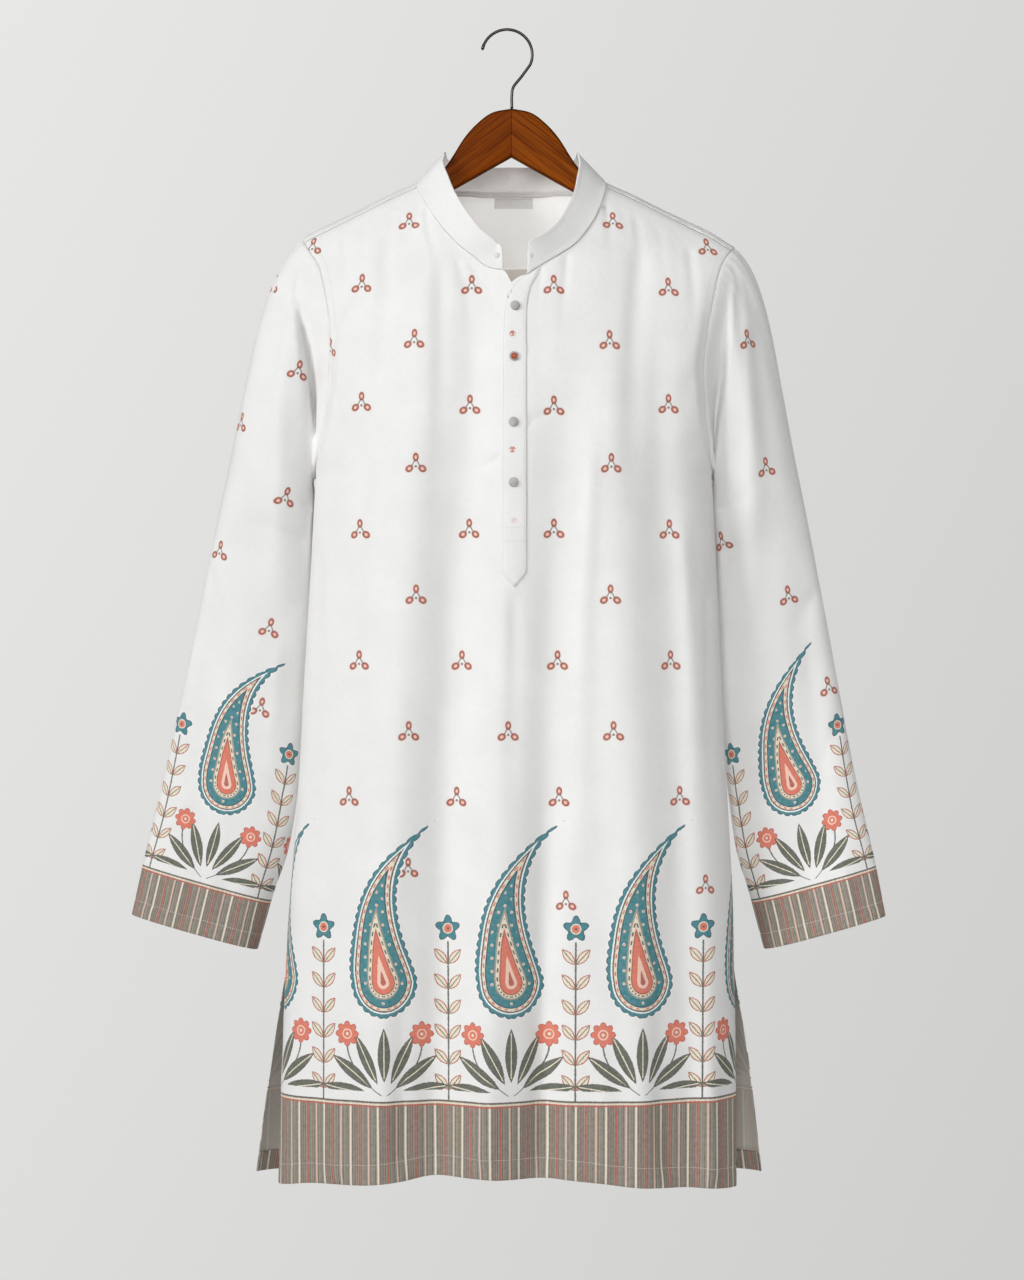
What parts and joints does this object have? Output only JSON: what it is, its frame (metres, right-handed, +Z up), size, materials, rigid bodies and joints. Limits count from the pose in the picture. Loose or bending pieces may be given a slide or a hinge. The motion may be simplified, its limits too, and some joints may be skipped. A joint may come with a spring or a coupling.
{
  "type": "kurta tunic on wooden hanger",
  "caption": "Long-sleeved collared tunic with side slits, hanging hollow on a mitred wooden hanger with a wire hook.",
  "frame": {"origin": "where the inside of the hook's top rests on its rail", "axes": "+Z up, -Y the garment's front, +X the right as seen from the front"},
  "size_m": [0.7734, 0.176, 1.178],
  "materials": {
    "printed_cotton": "matt woven cotton, white with a coral, teal and grey print",
    "plain_cotton": "matt woven cotton, white",
    "label_tape": "satin tape, pale grey",
    "button": "soft sheen, pale grey",
    "varnished_wood": "glossy varnish, dark red brown",
    "hook_wire": "polished"
  },
  "bodies": {
    "root": {"front": "printed_cotton", "back": "printed_cotton", "sleeve_left": "printed_cotton", "sleeve_right": "printed_cotton", "collar": "plain_cotton", "placket": "plain_cotton", "yoke_facing": "plain_cotton", "neck_label": "label_tape", "button_1": "button", "button_2": "button", "button_3": "button", "button_4": "button", "collar_button": "button", "collar_stud": "button", "hanger_arm_left": "varnished_wood", "hanger_arm_right": "varnished_wood", "hanger_hook": "hook_wire"}
  },
  "joints": []
}
